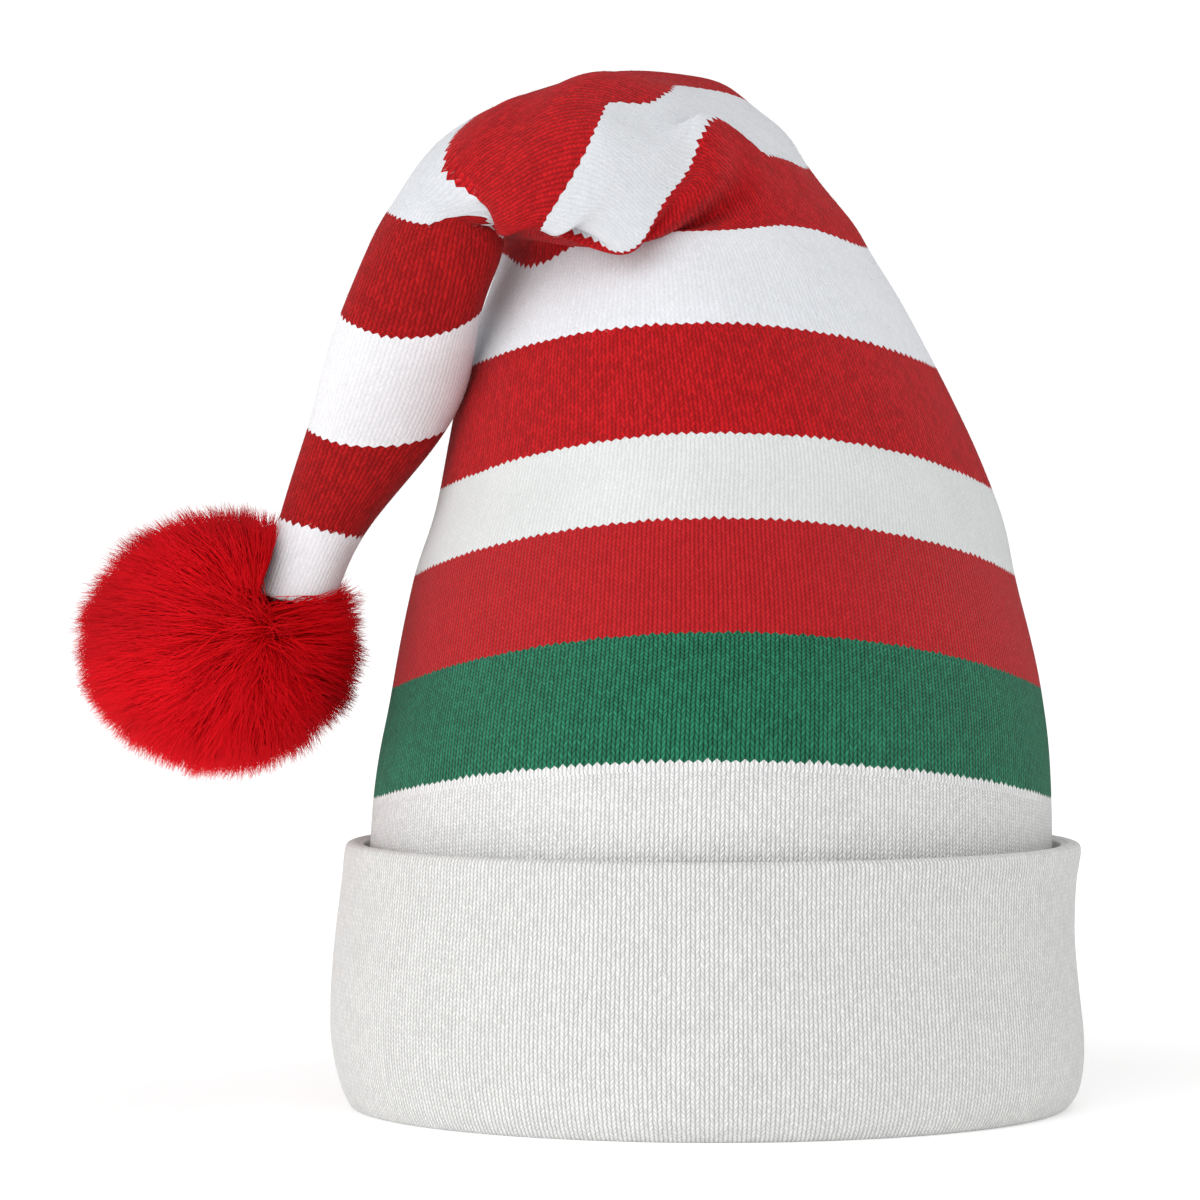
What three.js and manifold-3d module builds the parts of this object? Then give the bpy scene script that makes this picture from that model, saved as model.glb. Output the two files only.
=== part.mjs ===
// A striped knitted stocking hat with a turned-up cuff, a folded top, a hanging tail and a fur pompom.
// Sizes are in millimetres about the cuff's axis: x to the right, y to the back, z up from the floor.
import * as THREE from 'three';
import { mergeVertices } from 'three/addons/utils/BufferGeometryUtils.js';
import Module from 'manifold-3d';

const wasm = await Module();
wasm.setup();

// Sizes shared by the pieces.
const SEAT_GAP = 0.3;
const CROWN_SIDES = 40;
const CUFF_SIDES = 56;
const LEAST_HOLLOW_SHARE = 0.4;

// The knit cone: one row for each change of yarn, from inside the cuff to the end of the tail.
// outer, back, inner and front are the four tips of a section: right, back, left and front on the crown.
// wall is the cloth's thickness, which is gathered in the fold. crease is how sharply the sides are pressed.
const SECTIONS = [
  { outer: [88.9, 0, 20], back: [0, 88.9, 20], wall: 2.4, crease: 0,
    inner: [-88.9, 0, 20], front: [0, -88.9, 20] },
  { outer: [89.7, 1, 75.5], back: [1.3, 89, 60.5], wall: 2.4, crease: 0.3,
    inner: [-87.1, 1, 75.5], front: [1.3, -87, 90.5] },
  { outer: [87.4, 2.5, 105.7], back: [2.5, 87, 87.7], wall: 2.4, crease: 0.5,
    inner: [-82.4, 2.5, 105.7], front: [2.5, -82, 123.7] },
  { outer: [80.9, 4, 135.2], back: [2.1, 82, 118.6], wall: 2.4, crease: 0.5,
    inner: [-76.7, 4, 135.2], front: [2.1, -74, 151.8] },
  { outer: [75.7, 5.5, 156.6], back: [2.8, 78, 141.1], wall: 2.4, crease: 0.55,
    inner: [-70.2, 5.5, 156.6], front: [2.8, -67, 172.1] },
  { outer: [61.5, 7, 188], back: [-1.4, 68, 176.3], wall: 2.4, crease: 0.6,
    inner: [-64.2, 7, 188], front: [-1.4, -54, 199.7] },
  { outer: [42.4, 9, 219.7], back: [-5.9, 55, 214.7], wall: 4, crease: 0.4,
    inner: [-54.3, 9, 219.7], front: [-5.9, -37, 224.7] },
  { outer: [26.3, 14, 242.9], back: [-5, 35, 244.5], wall: 14, crease: 0,
    inner: [-52.8, -6.2, 233], front: [-19.5, -42, 234] },
  { outer: [1, 6, 259], back: [-11.1, 23, 262], wall: 14, crease: 0,
    inner: [-42.9, -6.4, 245.1], front: [-30.5, -38.5, 249] },
  { outer: [-61.1, -1.5, 252.3], back: [-51.4, 13.6, 257.9], wall: 9, crease: 0,
    inner: [-54, -12.6, 237.6], front: [-68, -31.1, 228.5] },
  { outer: [-82, -10, 232.5], back: [-72, -1.5, 231.5], wall: 5, crease: 0,
    inner: [-54.5, -18.9, 224.9], front: [-69.6, -26, 227] },
  { outer: [-94.6, -8, 206], back: [-75, 4, 206], wall: 2.6, crease: 0,
    inner: [-54, -13, 207], front: [-75.5, -21, 199] },
  { outer: [-103.5, 0, 178], back: [-86, 10, 178], wall: 2.4, crease: 0,
    inner: [-66, -2, 178], front: [-86, -11, 172.5] },
  { outer: [-111.3, 3, 152.6], back: [-98, 12, 152], wall: 2.4, crease: 0,
    inner: [-88.7, 3, 149], front: [-98, -8, 148.5] },
  { outer: [-116.7, 0, 133.6], back: [-106, 8, 133], wall: 2.4, crease: 0,
    inner: [-96.7, 0, 131.8], front: [-106, -9, 130.5] },
];
const LAST_SECTION = SECTIONS.length - 1;

// The folds: each pushes the outside of the cloth near one place, in rows along and degrees around.
const FOLDS = {
  recessUnderPouch: { at: 6.45, run: 0.3, turn: 250, spread: 40, push: [-1, 0.5, -6.5] },
  pouchLip: { at: 7.05, run: 0.4, turn: 248, spread: 26, push: [12.5, -3.5, -11.5] },
  ridgeOverNotch: { at: 7, run: 0.35, turn: 312, spread: 16, push: [-8.5, -0.5, 16.5] },
  dentBesidePouch: { at: 6.75, run: 0.3, turn: 288, spread: 20, push: [3, 1, 6.5] },
  pouchShoulder: { at: 7.9, run: 0.5, turn: 300, spread: 22, push: [-7, 1.5, 2] },
  pouchBelly: { at: 7.8, run: 0.55, turn: 245, spread: 26, push: [-2, -6, -19.5] },
  pouchLeftEnd: { at: 8.6, run: 0.5, turn: 245, spread: 30, push: [3.5, -7, -10] },
  tuckAtTail: { at: 9.2, run: 0.4, turn: 262, spread: 28, push: [14, 1, 5] },
  bendFront: { at: 8.6, run: 0.5, turn: 320, spread: 40, push: [4.5, 4, 17.5] },
  bendTop: { at: 8.4, run: 0.5, turn: 35, spread: 45, push: [6.5, 1.5, 6.5] },
};

// Steps along the cone, finer in the fold: from one row to another in equal steps.
const OUTER_RUNS = [
  { from: 0, to: 6, steps: 12 },
  { from: 6, to: 10, steps: 22 },
  { from: 10, to: 14, steps: 10 },
];
const INNER_RUNS = [
  { from: 0, to: 6, steps: 9 },
  { from: 6, to: 10, steps: 10 },
  { from: 10, to: 13.5, steps: 7 },
];
const SOCKET_RUNS = [
  { from: 12.8, to: 14, steps: 3 },
];

// The cuff's outline, from the top of the leg inside the hat, under the fold and up to the rim.
// left and right are the reach at each side of the hat.
const CUFF_OUTLINE = [
  { height: 19.7, left: 86.5, right: 86.5 },
  { height: 7, left: 86.2, right: 86.2 },
  { height: 1.6, left: 86.9, right: 86.9 },
  { height: 0, left: 88.4, right: 88.8 },
  { height: 0, left: 92, right: 92.6 },
  { height: 1.8, left: 93.6, right: 95 },
  { height: 5.5, left: 95.2, right: 96.8 },
  { height: 12, left: 96.9, right: 97.8 },
  { height: 20, left: 97.9, right: 97.7 },
  { height: 32, left: 97.7, right: 96.4 },
  { height: 45, left: 96.6, right: 95.4 },
  { height: 58, left: 95, right: 95.8 },
  { height: 66.4, left: 94.1, right: 97 },
  { height: 68.4, left: 93.2, right: 96 },
  { height: 68.2, left: 91.4, right: 94.2 },
  { height: 66.2, left: 90.4, right: 93 },
  { height: 45, left: 92.4, right: 91.4 },
  { height: 20, left: 92.6, right: 92.4 },
  { height: 9, left: 91.4, right: 91.6 },
  { height: 6.4, left: 89.9, right: 90 },
  { height: 8.6, left: 88.8, right: 88.8 },
  { height: 19.7, left: 88.9, right: 88.9 },
];

// The pompom: a round head and the locks of fur that stand out of it, combed away from the whorl.
const POMPOM_CENTRE = new THREE.Vector3(-126.6, 6, 120);
const POMPOM_REACH = new THREE.Vector3(36.7, 35, 33.8);
const HEAD_SHARE = 0.8;
const HEAD_SIDES = 16;
const HEAD_BANDS = 10;
const LOCK_COUNT = 64;
const LOCK_SIDES = 5;
const LOCK_ROOT_RADIUS = 11.5;
const LOCK_TIP_RADIUS = 1.6;
const LOCK_ROOT_SHARE = 0.4;
const LOCK_SHORTEST = 0.9;
const LOCK_LONGEST = 1.04;
const LOCK_COMB = 0.3;
const LOCK_SAG = 0.12;
const GOLDEN_SHARE = (3 - Math.sqrt(5)) / 2;
const WHORL = new THREE.Vector3(0.42, -0.86, 0.2).normalize();

const TIPS = ['outer', 'back', 'inner', 'front'];
const TRACKS = TIPS.map((tip) => {
  const points = SECTIONS.map((row) => new THREE.Vector3(...row[tip]));
  return new THREE.CatmullRomCurve3(points, false, 'catmullrom', 0.5);
});

// A column's value part way between two rows.
function columnAt(column, run) {
  const row = Math.min(Math.floor(run), LAST_SECTION - 1);
  return THREE.MathUtils.lerp(SECTIONS[row][column], SECTIONS[row + 1][column], run - row);
}

// How far the folds push a place on the cloth.
function foldPush(run, degrees) {
  const total = new THREE.Vector3();
  for (const fold of Object.values(FOLDS)) {
    const along = (run - fold.at) / fold.run;
    const around = (THREE.MathUtils.euclideanModulo(degrees - fold.turn + 180, 360) - 180) / fold.spread;
    total.addScaledVector(new THREE.Vector3(...fold.push), Math.exp(-along * along - around * around));
  }
  return total;
}

// One closed ring of the cone, before the folds push it.
function coneRing(run) {
  const [outer, back, inner, front] = TRACKS.map((track) => track.getPoint(run / LAST_SECTION));
  const middle = outer.clone().add(inner).add(back).add(front).multiplyScalar(0.25);
  const skew = outer.clone().add(inner).sub(back).sub(front).multiplyScalar(0.25);
  const wide = outer.sub(inner).multiplyScalar(0.5);
  const deep = back.sub(front).multiplyScalar(0.5);
  const crease = columnAt('crease', run);
  return Array.from({ length: CROWN_SIDES }, (_, side) => {
    const angle = (2 * Math.PI * side) / CROWN_SIDES;
    const bow = Math.sin(angle) * Math.abs(Math.sin(angle)) ** crease;
    const point = middle.clone();
    point.addScaledVector(wide, Math.cos(angle));
    point.addScaledVector(deep, bow);
    return point.addScaledVector(skew, Math.cos(2 * angle));
  });
}

function middleOf(ring) {
  const middle = new THREE.Vector3();
  ring.forEach((point) => middle.addScaledVector(point, 1 / ring.length));
  return middle;
}

// The same ring moved towards its middle, never so far that the hollow closes.
function insetRing(ring, inset) {
  const middle = middleOf(ring);
  return ring.map((point) => {
    const share = Math.min(inset / point.distanceTo(middle), 1 - LEAST_HOLLOW_SHARE);
    return point.clone().lerp(middle, share);
  });
}

// The same ring as the folds push it.
function foldedRing(ring, run) {
  return ring.map((point, side) => point.clone().add(foldPush(run, (360 * side) / CROWN_SIDES)));
}

// The places along the cone where a ring is made.
function runsOf(spans) {
  const runs = [spans[0].from];
  for (const span of spans) {
    for (let step = 1; step <= span.steps; step += 1) {
      runs.push(THREE.MathUtils.lerp(span.from, span.to, step / span.steps));
    }
  }
  return runs;
}

// A geometry from a list of corner points and triangles of their numbers.
function geometryOf(points, triangles) {
  const geometry = new THREE.BufferGeometry();
  const places = points.flatMap((point) => [point.x, point.y, point.z]);
  geometry.setAttribute('position', new THREE.Float32BufferAttribute(places, 3));
  geometry.setIndex(triangles.flat());
  geometry.computeVertexNormals();
  return geometry;
}

// Two triangles for each side between one ring of points and the next.
function bandTriangles(first, second, sides) {
  const triangles = [];
  for (let side = 0; side < sides; side += 1) {
    const next = (side + 1) % sides;
    triangles.push([first + side, first + next, second + next]);
    triangles.push([first + side, second + next, second + side]);
  }
  return triangles;
}

// Triangles from a ring of points to one point beyond it.
function capTriangles(ring, tip, sides) {
  return Array.from({ length: sides }, (_, side) => [ring + side, ring + ((side + 1) % sides), tip]);
}

const turned = (triangles) => triangles.map(([a, b, c]) => [a, c, b]);

// One side of a sock: bands from ring to ring and a cap on the last.
function sockSide(rings, start) {
  const sides = rings[0].length;
  const triangles = [];
  for (let row = 0; row + 1 < rings.length; row += 1) {
    triangles.push(...bandTriangles(start + row * sides, start + (row + 1) * sides, sides));
  }
  const points = [...rings.flat(), middleOf(rings[rings.length - 1])];
  triangles.push(...capTriangles(start + (rings.length - 1) * sides, start + points.length - 1, sides));
  return { points, triangles };
}

// A sock with an outside, an inside and a rim between their first rings.
function sockGeometry(outerRings, innerRings) {
  const outside = sockSide(outerRings, 0);
  const inside = sockSide(innerRings, outside.points.length);
  const rim = bandTriangles(outside.points.length, 0, outerRings[0].length);
  const triangles = [...outside.triangles, ...turned(inside.triangles), ...rim];
  return geometryOf([...outside.points, ...inside.points], triangles);
}

function crownGeometry() {
  const outerRings = runsOf(OUTER_RUNS).map((run) => foldedRing(coneRing(run), run));
  const innerRings = runsOf(INNER_RUNS).map((run) => insetRing(coneRing(run), columnAt('wall', run)));
  return sockGeometry(outerRings, innerRings);
}

// The cuff: its outline carried round the axis, passing smoothly from the right reach to the left one.
function cuffGeometry() {
  const rings = CUFF_OUTLINE.map((row) => Array.from({ length: CUFF_SIDES }, (_, side) => {
    const angle = (2 * Math.PI * side) / CUFF_SIDES;
    const reach = THREE.MathUtils.lerp(row.left, row.right, 0.5 + 0.5 * Math.cos(angle));
    return new THREE.Vector3(reach * Math.cos(angle), reach * Math.sin(angle), row.height);
  }));
  const triangles = [];
  rings.forEach((_, row) => {
    const next = (row + 1) % rings.length;
    triangles.push(...bandTriangles(row * CUFF_SIDES, next * CUFF_SIDES, CUFF_SIDES));
  });
  return geometryOf(rings.flat(), triangles);
}

// A solid body from a closed geometry.
function solidOf(geometry) {
  const bare = geometry.clone();
  bare.deleteAttribute('normal');
  bare.deleteAttribute('uv');
  const merged = mergeVertices(bare);
  const vertProperties = new Float32Array(merged.attributes.position.array);
  const triVerts = new Uint32Array(merged.index.array);
  return new wasm.Manifold(new wasm.Mesh({ numProp: 3, vertProperties, triVerts }));
}

function geometryOfSolid(solid) {
  const mesh = solid.getMesh();
  const geometry = new THREE.BufferGeometry();
  geometry.setAttribute('position', new THREE.BufferAttribute(new Float32Array(mesh.vertProperties), 3));
  geometry.setIndex(new THREE.BufferAttribute(new Uint32Array(mesh.triVerts), 1));
  geometry.computeVertexNormals();
  return geometry;
}

// Evenly spread directions over a ball.
function ballDirection(index, count) {
  const height = 1 - (2 * (index + 0.5)) / count;
  const flat = Math.sqrt(1 - height * height);
  const angle = 2 * Math.PI * GOLDEN_SHARE * index;
  return new THREE.Vector3(flat * Math.cos(angle), flat * Math.sin(angle), height);
}

// One lock of fur: a blunt cone out of the head, combed away from the whorl and sagging a little.
function lockGeometry(index) {
  const away = ballDirection(index, LOCK_COUNT);
  const comb = away.clone().addScaledVector(WHORL, -away.dot(WHORL)).multiplyScalar(LOCK_COMB);
  const tipAway = away.clone().add(comb).add(new THREE.Vector3(0, 0, -LOCK_SAG)).normalize();
  const uneven = THREE.MathUtils.euclideanModulo(index * GOLDEN_SHARE, 1);
  const reach = THREE.MathUtils.lerp(LOCK_SHORTEST, LOCK_LONGEST, uneven);
  const tip = tipAway.multiply(POMPOM_REACH).multiplyScalar(reach);
  const root = away.multiply(POMPOM_REACH).multiplyScalar(LOCK_ROOT_SHARE);
  const along = tip.clone().sub(root);
  const lock = new THREE.CylinderGeometry(LOCK_TIP_RADIUS, LOCK_ROOT_RADIUS, along.length(), LOCK_SIDES);
  lock.translate(0, along.length() / 2, 0);
  const aim = new THREE.Quaternion().setFromUnitVectors(THREE.Object3D.DEFAULT_UP, along.normalize());
  lock.applyQuaternion(aim);
  return lock.translate(root.x, root.y, root.z);
}

// The hole that the end of the tail sits in, a small gap wider than the tail.
function socketSolid() {
  const rings = runsOf(SOCKET_RUNS).map((run) => insetRing(coneRing(run), -SEAT_GAP));
  const [beforeLast, last] = rings.slice(-2);
  const onwards = middleOf(last).sub(middleOf(beforeLast)).setLength(SEAT_GAP);
  rings.push(last.map((point) => point.clone().add(onwards)));
  const side = sockSide(rings, 0);
  const mouth = side.points.length;
  side.points.push(middleOf(rings[0]));
  side.triangles.push(...turned(capTriangles(0, mouth, CROWN_SIDES)));
  return solidOf(geometryOf(side.points, side.triangles));
}

function pompomGeometry() {
  const ball = new THREE.SphereGeometry(HEAD_SHARE, HEAD_SIDES, HEAD_BANDS);
  ball.scale(POMPOM_REACH.x, POMPOM_REACH.y, POMPOM_REACH.z);
  const locks = Array.from({ length: LOCK_COUNT }, (_, index) => solidOf(lockGeometry(index)));
  const fur = wasm.Manifold.union([solidOf(ball), ...locks]);
  const placed = fur.translate(POMPOM_CENTRE.toArray());
  return geometryOfSolid(placed.subtract(socketSolid()));
}

// The pieces, in the photograph's colours, standing on the middle of their own box.
const PIECES = [
  { name: 'crown', geometry: crownGeometry(), colour: 0xbe1e2a, roughness: 0.92 },
  { name: 'cuff', geometry: cuffGeometry(), colour: 0xe9e9e7, roughness: 0.94 },
  { name: 'pompom', geometry: pompomGeometry(), colour: 0xd01420, roughness: 0.85 },
];

const hat = new THREE.Group();
hat.name = 'gnome_hat';
for (const piece of PIECES) {
  const { colour: color, roughness } = piece;
  const material = new THREE.MeshStandardMaterial({ color, roughness, metalness: 0 });
  const mesh = new THREE.Mesh(piece.geometry, material);
  mesh.name = piece.name;
  hat.add(mesh);
}

const box = new THREE.Box3().setFromObject(hat, true);
const foot = box.getCenter(new THREE.Vector3()).setZ(box.min.z);
hat.children.forEach((mesh) => mesh.geometry.translate(-foot.x, -foot.y, -foot.z));

export default hat;
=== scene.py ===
"""Looks of a striped knitted stocking hat with a turned-up cuff, a folded top, a tail and a fur pompom.

The shapes are given in millimetres about the cuff's axis, as they are in the part's source. They become
metres in the part's own frame when a mesh is placed.
"""
import logging
import math
from dataclasses import dataclass, field
from enum import Enum

import bmesh
import bpy
import numpy as np
from mathutils import Euler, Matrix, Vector, noise


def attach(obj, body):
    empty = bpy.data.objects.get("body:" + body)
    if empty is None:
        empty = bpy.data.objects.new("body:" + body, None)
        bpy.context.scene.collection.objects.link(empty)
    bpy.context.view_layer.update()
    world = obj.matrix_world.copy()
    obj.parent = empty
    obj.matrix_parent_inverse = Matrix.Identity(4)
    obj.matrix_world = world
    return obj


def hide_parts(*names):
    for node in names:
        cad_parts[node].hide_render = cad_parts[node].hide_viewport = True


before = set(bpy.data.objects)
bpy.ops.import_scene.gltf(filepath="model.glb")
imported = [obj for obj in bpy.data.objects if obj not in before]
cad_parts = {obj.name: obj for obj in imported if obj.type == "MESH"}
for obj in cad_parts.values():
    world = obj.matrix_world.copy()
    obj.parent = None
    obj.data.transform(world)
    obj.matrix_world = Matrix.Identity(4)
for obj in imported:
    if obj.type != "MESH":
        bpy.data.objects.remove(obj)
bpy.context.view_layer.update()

LOG = logging.getLogger("gnome_hat")
Triple = tuple[float, float, float]

MM = 0.001
AXIS_PLACE = np.array([31.976, 0.0, 0.0])
BODY = "root"
STITCH_MAP = "stitch"
STRAND_MAP = "strand"
FULL_BYTE = 255
SRGB_KNEE = 0.04045
SRGB_SLOPE = 12.92
SRGB_OFFSET = 0.055
SRGB_POWER = 2.4
WHITE = (1, 1, 1, 1)
WELD_DISTANCE = 1e-7
LEAST_LENGTH = 1e-12
ROW_EASE = 1e-6
GRID_REACH = 0.5
NOISE_MIDDLE = 0.5
FULL_TURN = 360
HALF_TURN = 180
QUARTER_TURN = 90
FACE_CORNERS = 4
RING_TIPS = ("outer", "back", "inner", "front")
NUMBER, PLACE = "NodeSocketFloat", "NodeSocketVector"
MIX_SHARE, MIX_FIRST, MIX_SECOND, MIX_RESULT = 0, 6, 7, 2


class Yarn(Enum):
    """The yarns of the knit, named by where they run; the foot's white, the fold's white and the tail's red
    are copies of other yarns with painted light or painted shade.
    """

    CUFF_WHITE = "cuff_white"
    FOOT_WHITE_PAINTED_LIGHT = "foot_white_painted_light"
    GREEN = "green"
    BAND_RED = "band_red"
    BAND_WHITE = "band_white"
    TOP_RED = "top_red"
    TOP_WHITE = "top_white"
    FOLD_WHITE_PAINTED_SHADE = "fold_white_painted_shade"
    TAIL_RED_PAINTED_SHADE = "tail_red_painted_shade"
    TAIL_WHITE = "tail_white"


@dataclass(frozen=True)
class YarnFinish:
    """One yarn's colours, from 0 to 255, on a stitch's crest and in its grooves, where the darker colour is
    painted shade, and its share of relief.
    """

    crest: Triple
    groove_shade: Triple
    relief: float


@dataclass(frozen=True)
class KnitFinish:
    """How a knit is finished over its whole surface, with its relief in millimetres."""

    roughness: float
    sheen: float
    sheen_roughness: float
    relief: float
    wobble: float
    uneven: float
    fleck: float
    specular: float = 0.2


@dataclass(frozen=True)
class StrandFinish:
    """The colours of fur or fuzz from root to tip, from 0 to 255, how strands differ, and their gloss."""

    root: Triple
    middle: Triple
    tip: Triple
    variety: float
    roughness: float
    specular: float
    middle_at: float = 0.55


# Each yarn's groove colour is painted shade of the hollows between its stitches.
YARNS: dict[Yarn, YarnFinish] = {
    Yarn.CUFF_WHITE: YarnFinish((245, 245, 243), (189, 189, 188), 1.0),
    # A lighter copy of the cuff's white: painted light on the crown's foot, where the cuff's rim shades it.
    Yarn.FOOT_WHITE_PAINTED_LIGHT: YarnFinish((252, 252, 251), (200, 200, 200), 1.0),
    Yarn.GREEN: YarnFinish((46, 138, 104), (1, 48, 30), 1.0),
    Yarn.BAND_RED: YarnFinish((196, 33, 39), (148, 9, 15), 0.8),
    Yarn.BAND_WHITE: YarnFinish((217, 219, 218), (200, 203, 202), 0.4),
    Yarn.TOP_RED: YarnFinish((199, 21, 28), (137, 6, 11), 0.5),
    Yarn.TOP_WHITE: YarnFinish((220, 222, 226), (208, 210, 214), 0.2),
    # A darker copy of the top white: painted shade on the fold's white, which faces up into the lamps.
    Yarn.FOLD_WHITE_PAINTED_SHADE: YarnFinish((211, 213, 217), (200, 202, 206), 0.2),
    # A darker copy of the top red: painted shade on the tail, which the lamps light more from the left.
    Yarn.TAIL_RED_PAINTED_SHADE: YarnFinish((181, 20, 23), (125, 6, 8), 0.5),
    Yarn.TAIL_WHITE: YarnFinish((231, 230, 233), (218, 218, 221), 0.25),
}
STRIPES: tuple[Yarn, ...] = (
    Yarn.FOOT_WHITE_PAINTED_LIGHT, Yarn.GREEN, Yarn.BAND_RED, Yarn.BAND_WHITE,
    Yarn.TOP_RED, Yarn.TOP_WHITE, Yarn.TOP_RED, Yarn.FOLD_WHITE_PAINTED_SHADE, Yarn.TOP_RED, Yarn.FOLD_WHITE_PAINTED_SHADE,
    Yarn.TAIL_RED_PAINTED_SHADE, Yarn.TAIL_WHITE, Yarn.TAIL_RED_PAINTED_SHADE, Yarn.TAIL_WHITE,
)


@dataclass(frozen=True)
class Section:
    """A section of the knit cone: its ring's four tips, the cloth's wall and how its sides are pressed."""

    outer: Triple
    back: Triple
    inner: Triple
    front: Triple
    wall: float
    crease: float


@dataclass(frozen=True)
class Fold:
    """A push on the cloth near one place, in rows along and degrees around, with a slant as it turns."""

    at: float
    run: float
    turn: float
    spread: float
    push: Triple
    slant: float = 0.0


@dataclass(frozen=True)
class Drift:
    """A shift, in rows along the cone, of the ring where one yarn meets the next, near one place around."""

    ring: int
    turn: float
    spread: float
    shift: float


@dataclass(frozen=True)
class Span:
    """Equal steps along the cone from one row to another."""

    start: float
    stop: float
    steps: int


@dataclass(frozen=True)
class CuffRow:
    """One height of the cuff's outline, with its reach at each side of the hat."""

    height: float
    left: float
    right: float


# A row for each change of yarn, from inside the cuff to the end of the tail, as in the part's solids.
SECTIONS: tuple[Section, ...] = (
    Section((88.9, 0, 20), (0, 88.9, 20), (-88.9, 0, 20), (0, -88.9, 20), 2.4, 0),
    Section((89.7, 1, 75.5), (1.3, 89, 60.5), (-87.1, 1, 75.5), (1.3, -87, 90.5), 2.4, 0.3),
    Section((87.4, 2.5, 105.7), (2.5, 87, 87.7), (-82.4, 2.5, 105.7), (2.5, -82, 123.7), 2.4, 0.5),
    Section((80.9, 4, 135.2), (2.1, 82, 118.6), (-76.7, 4, 135.2), (2.1, -74, 151.8), 2.4, 0.5),
    Section((75.7, 5.5, 156.6), (2.8, 78, 141.1), (-70.2, 5.5, 156.6), (2.8, -67, 172.1), 2.4, 0.55),
    Section((61.5, 7, 188), (-1.4, 68, 176.3), (-64.2, 7, 188), (-1.4, -54, 199.7), 2.4, 0.6),
    Section((42.4, 9, 219.7), (-5.9, 55, 214.7), (-54.3, 9, 219.7), (-5.9, -37, 224.7), 4, 0.4),
    Section((26.3, 14, 242.9), (-5, 35, 244.5), (-52.8, -6.2, 233), (-19.5, -42, 234), 14, 0),
    Section((1, 6, 259), (-11.1, 23, 262), (-42.9, -6.4, 245.1), (-30.5, -38.5, 249), 14, 0),
    Section((-61.1, -1.5, 252.3), (-51.4, 13.6, 257.9), (-54, -12.6, 237.6), (-68, -31.1, 228.5), 9, 0),
    Section((-82, -10, 232.5), (-72, -1.5, 231.5), (-54.5, -18.9, 224.9), (-69.6, -26, 227), 5, 0),
    Section((-94.6, -8, 206), (-75, 4, 206), (-54, -13, 207), (-75.5, -21, 199), 2.6, 0),
    Section((-103.5, 0, 178), (-86, 10, 178), (-66, -2, 178), (-86, -11, 172.5), 2.4, 0),
    Section((-111.3, 3, 152.6), (-98, 12, 152), (-88.7, 3, 149), (-98, -8, 148.5), 2.4, 0),
    Section((-116.7, 0, 133.6), (-106, 8, 133), (-96.7, 0, 131.8), (-106, -9, 130.5), 2.4, 0),
)

# The main folds of the outside, as in the part's solids.
FOLDS: dict[str, Fold] = {
    "recess_under_pouch": Fold(6.45, 0.3, 250, 40, (-1, 0.5, -6.5)),
    "pouch_lip": Fold(7.05, 0.4, 248, 26, (12.5, -3.5, -11.5)),
    "ridge_over_notch": Fold(7, 0.35, 312, 16, (-8.5, -0.5, 16.5)),
    "dent_beside_pouch": Fold(6.75, 0.3, 288, 20, (3, 1, 6.5)),
    "pouch_shoulder": Fold(7.9, 0.5, 300, 22, (-7, 1.5, 2)),
    "pouch_belly": Fold(7.8, 0.55, 245, 26, (-2, -6, -19.5)),
    "pouch_left_end": Fold(8.6, 0.5, 245, 30, (3.5, -7, -10)),
    "tuck_at_tail": Fold(9.2, 0.4, 262, 28, (14, 1, 5)),
    "bend_front": Fold(8.6, 0.5, 320, 40, (4.5, 4, 17.5)),
    "bend_top": Fold(8.4, 0.5, 35, 45, (6.5, 1.5, 6.5)),
}

# Finer folds of the outside, which the solids leave out.
FINE_FOLDS: dict[str, Fold] = {
    "crease_under_flap": Fold(6.47, 0.12, 284, 26, (0, 6, -0.5), 0.009),
    "flap_edge": Fold(6.68, 0.12, 284, 26, (0, -3, -2), 0.009),
    "ridge_right": Fold(7.02, 0.28, 336, 15, (0, -2, 2.8)),
    "valley_behind_ridge": Fold(7.4, 0.22, 332, 16, (0, 2, -2)),
    "lip_notch": Fold(7.42, 0.19, 244, 24, (0, 0.8, 3)),
    "lip_underside": Fold(7.18, 0.14, 231, 10, (3, 1.5, 5.5)),
    "pouch_bottom": Fold(8.08, 0.3, 245, 22, (0, -0.5, -3)),
    "corner_behind_pouch": Fold(9.15, 0.1, 232, 20, (5.5, 4.5, 1)),
    "corner_drawn_in": Fold(8.93, 0.16, 228, 20, (4, 1, 0.5)),
    "corner_rounded": Fold(8.78, 0.14, 240, 12, (0.8, 0, 1.4)),
    "valley_left_of_ridge": Fold(7.32, 0.2, 294, 12, (-0.5, -1, 2)),
    "valley_under_ridge_tip": Fold(7.4, 0.2, 310, 8, (0, -0.5, 4)),
    "bend_left_top": Fold(8.64, 0.15, 328, 40, (0, 0, -3)),
    "bend_right_top": Fold(8.28, 0.2, 38, 40, (0, 0, -1.3)),
    "right_shoulder": Fold(7.35, 0.32, 20, 30, (1.2, 0, 1.3)),
    "right_flank": Fold(6.3, 0.35, 355, 30, (1.8, 0, 0.5)),
    "right_flank_low": Fold(5.6, 0.4, 355, 30, (1.4, 0, 0)),
}

# Folds that push the inside of the cloth along with its outside.
WALL_FOLDS: dict[str, Fold] = {
    "tail_meets_crown": Fold(10.1, 0.5, 180, 60, (2, 0, 0)),
    "tail_beside_crown": Fold(11, 0.55, 180, 60, (-4, 0, 0)),
}

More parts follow.
